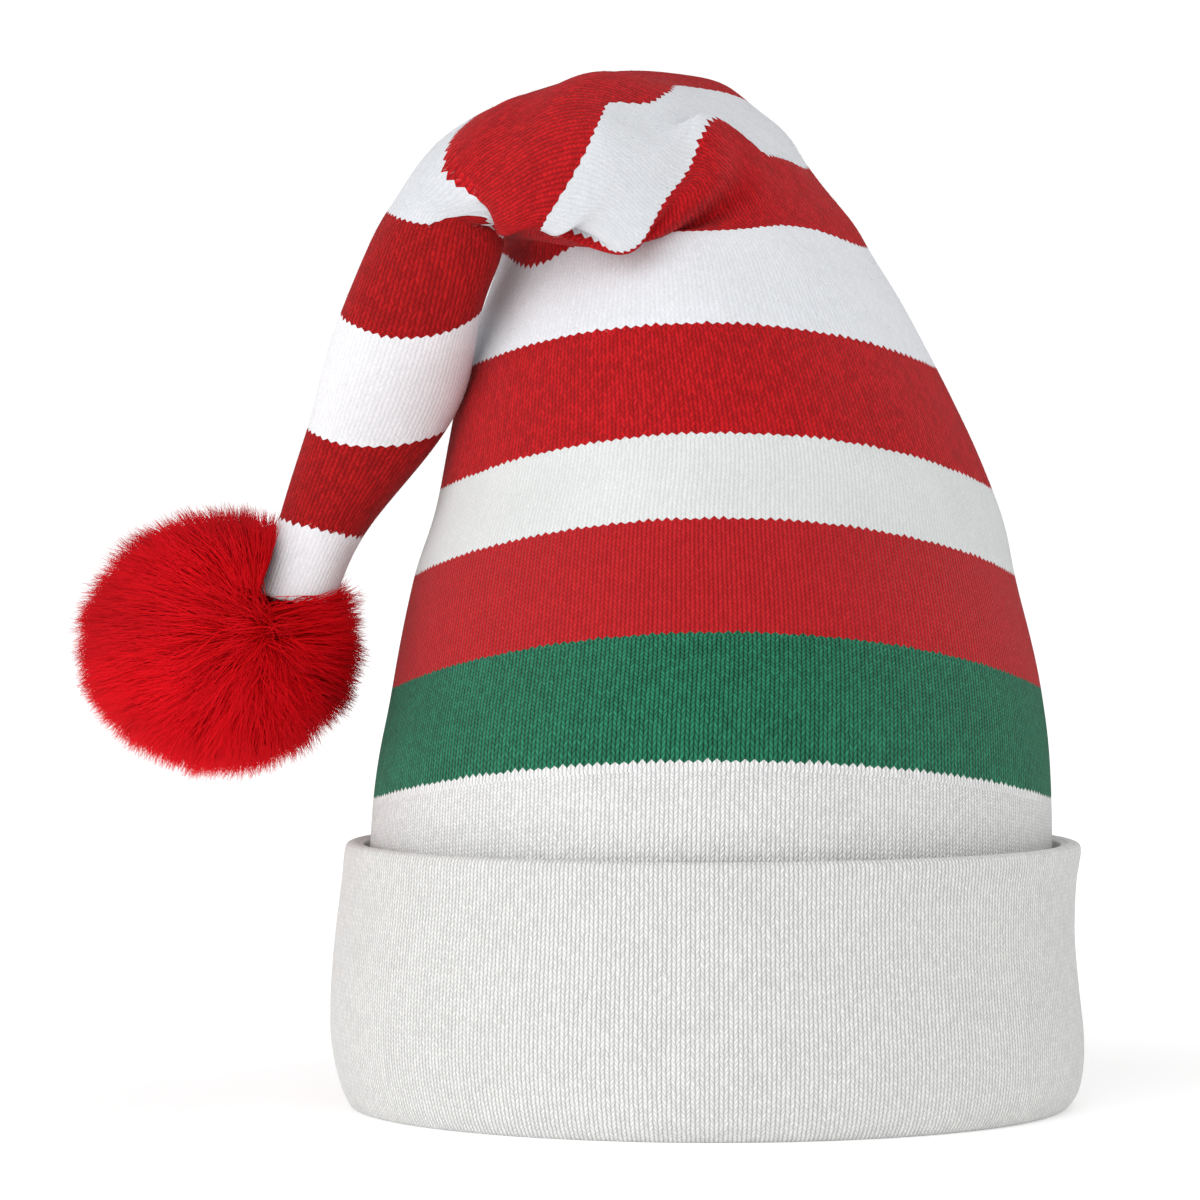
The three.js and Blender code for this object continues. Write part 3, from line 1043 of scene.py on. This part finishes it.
    def build(self, gauge: Gauge) -> bpy.types.Object:
        """Makes the crown's mesh, the outside and the inside closed into one.

        Args:
            gauge: The stitch counts.

        Returns:
            The crown.
        """
        cloth = bmesh.new()
        cloth.from_mesh(self.skin("crown", self.columns, self.outside, True, gauge))
        self.close_tip(cloth)
        lining = bmesh.new()
        lining.from_mesh(self.skin("crown_inside", self.inside_columns, self.inside, False, gauge))
        self.close_tip(lining)
        bmesh.ops.reverse_faces(lining, faces=lining.faces[:])
        cloth.from_mesh(finished("crown_inside", lining))
        foot = [e for e in cloth.edges if e.is_boundary]
        bmesh.ops.bridge_loops(cloth, edges=foot)
        mesh = finished("crown", cloth)
        mesh.shade_smooth()
        return shown("crown", mesh)

    def close_tip(self, cloth: bmesh.types.BMesh) -> None:
        """Welds a skin's seam and closes its far end, the higher of its two rims.

        Args:
            cloth: The skin.
        """
        weld_seam(cloth)
        rims = [e for e in cloth.edges if e.is_boundary]
        middle = sum(e.verts[0].co.z for e in rims) / len(rims)
        bmesh.ops.contextual_create(cloth, geom=[e for e in rims if e.verts[0].co.z > middle])

    def material(self, name: str, finish: KnitFinish, effects: Effects, gauge: Gauge) -> bpy.types.Material:
        """Makes the striped knit, with a tooth of yarn at each column where the yarn changes.

        Args:
            name: The material's name.
            finish: The knit's finish.
            effects: The shared node groups.
            gauge: The stitch counts.

        Returns:
            The material.
        """
        material, wiring, shader = new_material(name, finish.roughness, finish.specular)
        stitch = wiring.node("ShaderNodeUVMap", uv_map=STITCH_MAP).outputs["UV"]
        split = wiring.node("ShaderNodeSeparateXYZ")
        wiring.feed(split.inputs[0], stitch)
        chance = wiring.node("ShaderNodeTexWhiteNoise", noise_dimensions="1D")
        wiring.feed(chance.inputs["W"], wiring.math("FLOOR", split.outputs["X"]))
        height = wiring.math("MULTIPLY_ADD", chance.outputs["Value"], self.tooth, self.tooth)
        tooth = wiring.math("MULTIPLY", wiring.math("PINGPONG", split.outputs["X"], 0.5), height)
        courses = float(gauge.starts[-1])
        share = wiring.math("DIVIDE", wiring.math("SUBTRACT", split.outputs["Y"], tooth), courses)
        stripes = [(float(start) / courses, YARNS[yarn]) for start, yarn in zip(gauge.starts, STRIPES)]
        crest = wiring.ramp(share, [(place, linear(yarn.crest)) for place, yarn in stripes], True)
        # Each yarn's darker colour for the grooves between stitches: painted shade.
        groove_shade = wiring.ramp(share, [(place, linear(yarn.groove_shade)) for place, yarn in stripes], True)
        relief = wiring.ramp(share, [(place, (*[yarn.relief] * 3, 1)) for place, yarn in stripes], True)
        dress_knit(wiring, shader, effects, finish, stitch, crest, groove_shade, relief)
        return material


@dataclass
class Fuzz:
    """Loose fibres that stand out of the soft knit, most of all where the yarn changes."""

    crown: Crown
    hairs: int = 10000
    points: int = 3
    shortest: float = 0.5
    longest: float = 1.6
    width: float = 0.038
    clear: float = 0.06
    tries: int = 8
    edge_reach: float = 0.08
    edge_weight: float = 1.6
    least_lift: float = 0.1
    most_lift: float = 0.5
    curl: float = 0.6
    tip_share: float = 0.4
    roll: float = 0.6
    seed: int = 5
    white: StrandFinish = StrandFinish((238, 238, 240), (244, 244, 246), (250, 250, 250), 0.1, 0.9, 0.1)
    red: StrandFinish = StrandFinish((176, 16, 24), (200, 28, 36), (220, 60, 66), 0.3, 0.9, 0.1)

    def roots(self, yarns: tuple[Yarn, ...], chance: np.random.Generator) -> tuple[np.ndarray, np.ndarray]:
        """Chooses where hairs of one colour stand, evenly by area and more densely beside the stripes' ends.

        The start of a stripe stays clear, because the last yarn's teeth reach into it.

        Args:
            yarns: The yarns of that colour.
            chance: The source of chance.

        Returns:
            The places along and around.
        """
        stripes = [n for n, worn in enumerate(STRIPES) if worn in yarns]
        tries = self.hairs * self.tries
        run = chance.choice(stripes, tries) + chance.uniform(self.clear, 1, tries)
        turn = chance.uniform(0, FULL_TURN, tries)
        place = self.crown.drifted(run, turn)
        area = np.linalg.norm(np.cross(*self.crown.tangents(place, turn)), axis=1)
        beside = np.abs(run - np.rint(run)) < self.edge_reach
        weight = area * np.where(beside, self.edge_weight, 1.0)
        taken = chance.choice(tries, self.hairs, replace=False, p=weight / weight.sum())
        return place[taken], turn[taken]

    def build(self, yarns: tuple[Yarn, ...], name: str) -> bpy.types.Object:
        """Makes the loose hairs of one colour.

        Args:
            yarns: The yarns of that colour.
            name: The piece's name.

        Returns:
            The hairs, as one object of fine tapered strips.
        """
        chance = np.random.default_rng([self.seed, list(Yarn).index(yarns[0])])
        place, turn = self.roots(yarns, chance)
        root = self.crown.waved_points(place, turn)
        out = self.crown.normals(place, turn)
        first, second = (unit(np.cross(out, chance.normal(0, 1, out.shape))) for _ in range(2))
        length = chance.uniform(self.shortest, self.longest, len(root))[:, None, None]
        share = np.linspace(0, 1, self.points)[None, :, None]
        lift = chance.uniform(self.least_lift, self.most_lift, (len(root), 1, 1))
        straight = share * (first[:, None] + lift * out[:, None])
        bent = self.curl * share**2 * second[:, None]
        lines = root[:, None] + length * (straight + bent)
        tint = chance.uniform(0, 1, len(root))
        strands = Strands(lines, np.repeat(out[:, None], self.points, axis=1), tint)
        widths = self.width * np.linspace(1, self.tip_share, self.points)
        return strands.laid(name, widths, chance, self.roll)


@dataclass
class Cuff:
    """The turned-up band, with a rounded fold at the bottom and an open rim at the top."""

    columns: int = 300
    steps: int = 6
    wale_pitch: float = 2.35
    course_pitch: float = 1.15
    finish: KnitFinish = KnitFinish(0.9, 0.08, 0.4, 0.45, 0.25, 0.25, 0.14)

    def outline(self) -> np.ndarray:
        """Follows the closed outline smoothly.

        Returns:
            Rows of left reach, right reach and height.
        """
        lead = 2
        rows = np.array([(r.left, r.right, r.height) for r in CUFF_OUTLINE], float)
        wrapped = np.vstack([rows[-lead:], rows, rows[:lead + 1]])
        steps = np.arange(len(rows) * self.steps + 1) / self.steps + lead
        track = smooth_track(wrapped, steps)
        track[:, 2] = np.maximum(track[:, 2], 0)
        return track

    def build(self) -> bpy.types.Object:
        """Makes the cuff's mesh by carrying its outline round the axis.

        Returns:
            The cuff.
        """
        outline = self.outline()
        mesh, column, row = grid_mesh("cuff", self.columns, len(outline) - 1)
        share = column / self.columns
        angle = 2 * math.pi * (share % 1)
        left, right, height = outline[row].T
        reach = left + (right - left) * (0.5 + 0.5 * np.cos(angle))
        set_corners(mesh, placed(np.stack([reach * np.cos(angle), reach * np.sin(angle), height], -1)))
        steps = np.linalg.norm(np.diff(outline[:, 1:], axis=0), axis=1)
        course = np.concatenate([[0], np.cumsum(steps)]) / self.course_pitch
        wales = round(2 * math.pi * outline[:, 0].max() / self.wale_pitch)
        loops = loop_corners(mesh)
        set_map(mesh, STITCH_MAP, np.stack([share[loops] * wales, course[row[loops]]], -1))
        ring = bmesh.new()
        ring.from_mesh(mesh)
        weld_seam(ring)
        ring.to_mesh(mesh)
        ring.free()
        mesh.shade_smooth()
        return shown("cuff", mesh)

    def material(self, effects: Effects) -> bpy.types.Material:
        """Makes the white knit of the cuff.

        Args:
            effects: The shared node groups.

        Returns:
            The material.
        """
        finish = self.finish
        material, wiring, shader = new_material("white_knit", finish.roughness, finish.specular)
        stitch = wiring.node("ShaderNodeUVMap", uv_map=STITCH_MAP).outputs["UV"]
        yarn = YARNS[Yarn.CUFF_WHITE]
        # The darker groove colour is painted shade of the hollows between stitches.
        crest, groove_shade = linear(yarn.crest), linear(yarn.groove_shade)
        dress_knit(wiring, shader, effects, finish, stitch, crest, groove_shade, yarn.relief)
        return material


@dataclass
class Tufts:
    """The tufts of the fur: where each stands on the ball, which way it points, its length and its tint."""

    middles: np.ndarray
    aims: np.ndarray
    lengths: np.ndarray
    tints: np.ndarray


@dataclass
class Pompom:
    """The ball of fur: a core and the strands that stand out of it in tufts, combed away from a whorl.

    Lengths of fur are shares of the ball's reach. A stray is the spread of a chance difference.
    """

    centre: Triple = (-126.6, 6, 120)
    reach: Triple = (36.7, 35, 33.8)
    core_share: float = 0.68
    core_detail: int = 5
    core_lump: float = 0.06
    core_lump_scale: float = 3.5
    core_fleck: float = 0.8
    core_roughness: float = 0.9
    dent_depth: float = 3.0
    dent_above: tuple[float, float] = (-4, 0)
    dent_beside: tuple[float, float] = (10, 15)
    whorl: Triple = (0.3, -0.93, 0.02)
    comb_angles: tuple[float, ...] = (0, 8, 28, 90, 150, 180)
    comb_turns: tuple[float, ...] = (0, 12, 32, 26, 8, 0)
    sag: float = 0.1
    sweep: Triple = (-0.5, 0.0, -0.25)
    sweep_spread: float = 24
    swirl: float = 1.6
    swirl_spread: float = 30
    tufts: int = 3600
    tuft_lengths: tuple[float, float] = (0.95, 1.09)
    tuft_stray: float = 0.06
    tuft_drift: float = 0.2
    tuft_drift_scale: float = 1.7
    middle_tint: float = 0.5
    tint_stray: float = 0.05
    tint_drift: float = 0.3
    tint_drift_scale: float = 2.6
    # Painted light and shade: the fur is paler toward this side, the right and underside, and darker toward
    # the upper left.
    painted_light_side: Triple = (0.6, 0.0, -0.8)
    painted_light_share: float = 0.62
    pieces: int = 3
    strands: int = 30000
    points: int = 4
    root_depth: float = 0.85
    root_stray: float = 0.07
    aim_stray: float = 0.05
    usual_length: float = 1.02
    most_length: float = 1.04
    length_stray: float = 0.09
    trim_angles: tuple[float, ...] = (0, 18, 45, 70)
    trim_lengths: tuple[float, ...] = (0.88, 0.91, 0.97, 1.0)
    lean_power: float = 1.3
    rise_power: float = 0.85
    wave: float = 0.35
    strand_tint_stray: float = 0.09
    root_width: float = 0.3
    tip_width: float = 0.03
    taper_places: tuple[float, ...] = (0, 0.6, 1)
    taper_shares: tuple[float, ...] = (1, 0.75, 0)
    tail_end: Triple = (-106.5, -0.5, 131.6)
    tail_up: Triple = (-100.0, 2.5, 151.0)
    tail_radius: float = 10.8
    tail_room: tuple[float, float] = (0.96, 1.2)
    least_gap: float = 0.1
    bare_share: float = 0.92
    bare_depth: float = 4.0
    bare_above: float = 0.8
    rounding: float = 4.0
    roll: float = 0.3
    seed: int = 11
    # The tips' brighter pink is painted light, standing in for light shining through the thin tips.
    finish: StrandFinish = StrandFinish((209, 4, 12), (207, 6, 15), (219, 13, 27), 0.62, 0.8, 0.08)

    def even_directions(self, count: int) -> np.ndarray:
        """Spreads directions evenly over a ball.

        Args:
            count: How many.

        Returns:
            The directions.
        """
        number = np.arange(count) + 0.5
        height = 1 - 2 * number / count
        golden_angle = math.pi * (3 - math.sqrt(5))
        angle = golden_angle * number
        flat = np.sqrt(1 - height**2)
        return np.stack([flat * np.cos(angle), flat * np.sin(angle), height], -1)

    def combed(self, away: np.ndarray) -> np.ndarray:
        """Turns directions away from the whorl and a little down, most of all near the whorl.

        Args:
            away: The directions.

        Returns:
            The turned directions.
        """
        whorl = unit(np.array(self.whorl))
        facing = np.clip(away @ whorl, -1, 1)
        angle = np.degrees(np.arccos(facing))
        flow = unit(away * facing[:, None] - whorl)
        turn = np.radians(np.interp(angle, self.comb_angles, self.comb_turns))
        bent = away * np.cos(turn)[:, None] + flow * np.sin(turn)[:, None]
        close = np.exp(-((angle / self.sweep_spread) ** 2))[:, None]
        return unit(bent + np.array([0, 0, -self.sag]) + close * np.array(self.sweep))

    def off_whorl(self, ways: np.ndarray) -> np.ndarray:
        """Finds how many degrees directions lie from the whorl."""
        return np.degrees(np.arccos(np.clip(ways @ unit(np.array(self.whorl)), -1, 1)))

    def drift(self, middles: np.ndarray, scale: float) -> np.ndarray:
        """Gives slow uneven directions over the ball, alike for tufts that stand close together."""
        noise.seed_set(self.seed)
        return np.array([noise.noise_vector(Vector(spot * scale)) for spot in middles])

    def lay_tufts(self) -> Tufts:
        """Works out the tufts, alike for every piece of fur.

        Returns:
            The tufts.
        """
        chance = np.random.default_rng(self.seed)
        middles = self.even_directions(self.tufts)
        lengths = chance.uniform(*self.tuft_lengths, self.tufts)
        tints = self.middle_tint + self.tint_drift * self.drift(middles, self.tint_drift_scale)[:, 0]
        tints = tints + chance.normal(0, self.tint_stray, self.tufts)
        # Painted light and shade: tufts toward the lower right get a paler tint, those toward the upper left
        # a darker one.
        tints = tints + self.painted_light_share * middles @ unit(np.array(self.painted_light_side))
        swirl = 1 + self.swirl * np.exp(-((self.off_whorl(middles) / self.swirl_spread) ** 2))
        strayed = self.tuft_drift * self.drift(middles, self.tuft_drift_scale)
        strayed = (strayed + chance.normal(0, self.tuft_stray, middles.shape)) * swirl[:, None]
        return Tufts(middles, unit(self.combed(middles) + strayed), lengths, tints)

    def fur_strands(self, chance: np.random.Generator, count: int) -> Strands:
        """Works out the strands of one piece of fur.

        Args:
            chance: The source of chance.
            count: How many strands.

        Returns:
            The strands.
        """
        tufts = self.lay_tufts()
        tuft = chance.integers(0, self.tufts, count)
        away = unit(tufts.middles[tuft] + chance.normal(0, self.root_stray, (count, 3)))
        aim = unit(tufts.aims[tuft] + chance.normal(0, self.aim_stray, (count, 3)))
        shorter = np.abs(chance.normal(0, self.length_stray, count))
        length = tufts.lengths[tuft] * np.minimum(self.most_length, self.usual_length - shorter)
        length = length * np.interp(self.off_whorl(aim), self.trim_angles, self.trim_lengths)
        share = np.linspace(0, 1, self.points)
        lean = (share**self.lean_power)[None, :, None]
        root = self.core_share * self.root_depth
        rise = root + (length[:, None] - root) * share**self.rise_power
        heading = unit(away[:, None] * (1 - lean) + aim[:, None] * lean)
        lines = np.array(self.centre) + heading * rise[..., None] * np.array(self.reach)
        wave = chance.normal(0, self.wave, (count, 1, 3)) * np.sin(share * math.pi)[None, :, None]
        tint = np.clip(tufts.tints[tuft] + chance.normal(0, self.strand_tint_stray, count), 0, 1)
        return self.parted(lines + wave, tint, chance.uniform(*self.tail_room, (count, 1)))

    def beside_tail(self, points: np.ndarray) -> tuple[np.ndarray, np.ndarray]:
        """Finds where points lie beside the tail.

        Args:
            points: The points.

        Returns:
            How far they lie above the tail's end, and their way to the side from the tail's middle.
        """
        end, up = np.array(self.tail_end), np.array(self.tail_up)
        above = points[..., 2] - end[2]
        spot = end + np.maximum(above, 0)[..., None] * (up - end) / (up[2] - end[2])
        return above, (points - spot) * np.array([1, 1, 0])

    def parted(self, lines: np.ndarray, tint: np.ndarray, room: np.ndarray) -> Strands:
        """Keeps fur out of the tail: strands beside it are pushed aside, those over its front left out.

        Args:
            lines: The strands' points.
            tint: The strands' tints.
            room: How much wider than the tail each strand keeps the gap.

        Returns:
            The strands that are left.
        """
        above, off = self.beside_tail(lines)
        gap = np.linalg.norm(off, axis=-1)
        inside = (gap < self.tail_radius * room) & (above > 0)
        pushed = lines + off * (self.tail_radius * room / np.maximum(gap, self.least_gap) - 1)[..., None]
        bare = self.bare_share * self.tail_radius
        in_front = (np.abs(off[..., 0]) < bare) & (lines[..., 1] < self.bare_depth)
        covers = ((above > self.bare_above) & in_front).any(axis=1)
        moved = np.where(inside[..., None], pushed, lines)[~covers]
        out = unit((moved - np.array(self.centre)) / np.array(self.reach))
        return Strands(moved, out, tint[~covers], self.rounding)

    def build_core(self) -> bpy.types.Object:
        """Makes the round head that the fur stands on, dented in front where the tail's end lies.

        Returns:
            The head.
        """
        ball = bmesh.new()
        bmesh.ops.create_icosphere(ball, subdivisions=self.core_detail, radius=1.0)
        for corner in ball.verts:
            lump = 1 + self.core_lump * noise.noise(corner.co * self.core_lump_scale)
            swelled = np.array(corner.co) * lump * self.core_share
            spot = swelled * np.array(self.reach) + np.array(self.centre)
            above, off = self.beside_tail(spot)
            above_end = np.interp(above, self.dent_above, [0, 1])
            near_tail = np.interp(abs(off[0]), self.dent_beside, [1, 0])
            spot[1] += above_end * near_tail * max(self.dent_depth - spot[1], 0)
            corner.co = Vector(placed(spot))
        mesh = finished("pompom", ball)
        mesh.shade_smooth()
        return shown("pompom", mesh)

    def build_fur(self, number: int) -> bpy.types.Object:
        """Makes one share of the fur.

        Args:
            number: Which share.

        Returns:
            The fur, as one object of flat tapered strands.
        """
        chance = np.random.default_rng(self.seed + 1 + number)
        taper = np.interp(np.linspace(0, 1, self.points), self.taper_places, self.taper_shares)
        widths = self.tip_width + (self.root_width - self.tip_width) * taper
        strands = self.fur_strands(chance, self.strands)
        return strands.laid(f"pompom_fur_{number + 1}", widths, chance, self.roll)

    def core_material(self, effects: Effects) -> bpy.types.Material:
        """Makes the short deep red pile under the fur.

        Args:
            effects: The shared node groups.

        Returns:
            The material.
        """
        material, wiring, shader = new_material("red_fur_core", self.core_roughness, self.finish.specular)
        deep = linear(self.finish.root)
        wiring.feed(shader.inputs["Base Color"], flecked(wiring, effects, self.core_fleck, deep))
        return material


@dataclass(frozen=True)
class Lamp:
    """A far soft lamp: where its light comes from, its strength and how wide it shows, in degrees."""

    name: str
    source: Triple
    strength: float
    spread: float


@dataclass
class Studio:
    """The floor, the lamps and the camera."""

    lamps: tuple[Lamp, ...] = (
        Lamp("key", (-1.0, -1.3, 0.75), 1.36, 60),
        Lamp("left", (-1.0, -0.1, 0.05), 1.05, 30),
        Lamp("right", (1.0, -0.36, 0.65), 1.13, 130),
    )
    sky: float = 0.54
    backdrop: float = 1.05
    floor_side: float = 12.0
    floor_parts: int = 8
    floor_shade: float = 0.92
    floor_roughness: float = 0.9
    floor_glow: float = 0.235
    eye: Triple = (0.00416, -1.45, 0.15184)
    pitch: float = 0.822
    lens: float = 167.31
    sensor: float = 36.0
    nearest: float = 0.05
    farthest: float = 50.0

    def build_floor(self) -> None:
        """Makes the pale floor."""
        flat = bmesh.new()
        parts = self.floor_parts
        bmesh.ops.create_grid(flat, x_segments=parts, y_segments=parts, size=self.floor_side / 2)
        mesh = finished("floor", flat)
        floor = shown("floor", mesh)
        material, _, shader = new_material("studio_floor", self.floor_roughness, 0.0)
        shader.inputs["Base Color"].default_value = (*[self.floor_shade] * 3, 1)
        shader.inputs["Emission Color"].default_value = WHITE
        shader.inputs["Emission Strength"].default_value = self.floor_glow
        mesh.materials.append(material)

    def build_lamps(self) -> None:
        """Hangs the lamps and sets the sky's soft light, which is white where the camera sees it."""
        for lamp in self.lamps:
            light = bpy.data.lights.new(lamp.name, "SUN")
            light.energy, light.angle = lamp.strength, math.radians(lamp.spread)
            made = shown(lamp.name, light)
            made.rotation_euler = Vector(lamp.source).to_track_quat("Z", "Y").to_euler()
        world = bpy.data.worlds.new("studio")
        bpy.context.scene.world = world
        world.use_nodes = True
        world.node_tree.nodes.clear()
        wiring = Wiring(world.node_tree)
        sky = wiring.node("ShaderNodeBackground")
        seen = wiring.node("ShaderNodeLightPath").outputs["Is Camera Ray"]
        brightness = wiring.math("MULTIPLY_ADD", seen, self.backdrop - self.sky, self.sky)
        wiring.feed(sky.inputs["Strength"], brightness)
        sky.inputs["Color"].default_value = WHITE
        wiring.feed(wiring.node("ShaderNodeOutputWorld").inputs["Surface"], sky.outputs[0])

    def build_camera(self) -> None:
        """Places the camera at the photograph's viewing angle."""
        camera = bpy.data.cameras.new("camera")
        camera.lens, camera.sensor_width = self.lens, self.sensor
        camera.clip_start, camera.clip_end = self.nearest, self.farthest
        made = shown("camera", camera)
        made.location = self.eye
        made.rotation_euler = Euler((math.radians(QUARTER_TURN - self.pitch), 0, 0))
        bpy.context.scene.camera = made
        bpy.context.scene.view_settings.view_transform = "Standard"


def main() -> None:
    """Builds the hat's pieces in order and the studio round them."""
    logging.basicConfig(level=logging.INFO, format="%(name)s: %(message)s")
    effects = Effects(stitch_group(), fleck_group())
    crown = Crown()
    gauge = crown.gauge()
    firm = crown.material("firm_knit", crown.firm, effects, gauge)
    soft = crown.material("soft_knit", crown.soft, effects, gauge)
    settle(crown.build(gauge), "crown", "striped_knit", firm, soft)
    fuzz = Fuzz(crown)
    white_hairs = strand_material("white_fuzz", fuzz.white)
    whites = (Yarn.TOP_WHITE, Yarn.FOLD_WHITE_PAINTED_SHADE, Yarn.TAIL_WHITE)
    settle(fuzz.build(whites, "crown_fuzz_white"), "crown", "striped_knit", white_hairs)
    red_hairs = strand_material("red_fuzz", fuzz.red)
    reds = (Yarn.TOP_RED, Yarn.TAIL_RED_PAINTED_SHADE)
    settle(fuzz.build(reds, "crown_fuzz_red"), "crown", "striped_knit", red_hairs)
    cuff = Cuff()
    settle(cuff.build(), "cuff", "white_knit", cuff.material(effects))
    pompom = Pompom()
    settle(pompom.build_core(), "pompom", "red_fur", pompom.core_material(effects))
    fur = strand_material("red_fur", pompom.finish)
    for number in range(pompom.pieces):
        settle(pompom.build_fur(number), "pompom", "red_fur", fur)
    studio = Studio()
    studio.build_floor()
    studio.build_lamps()
    studio.build_camera()


if __name__ == "__main__":
    main()
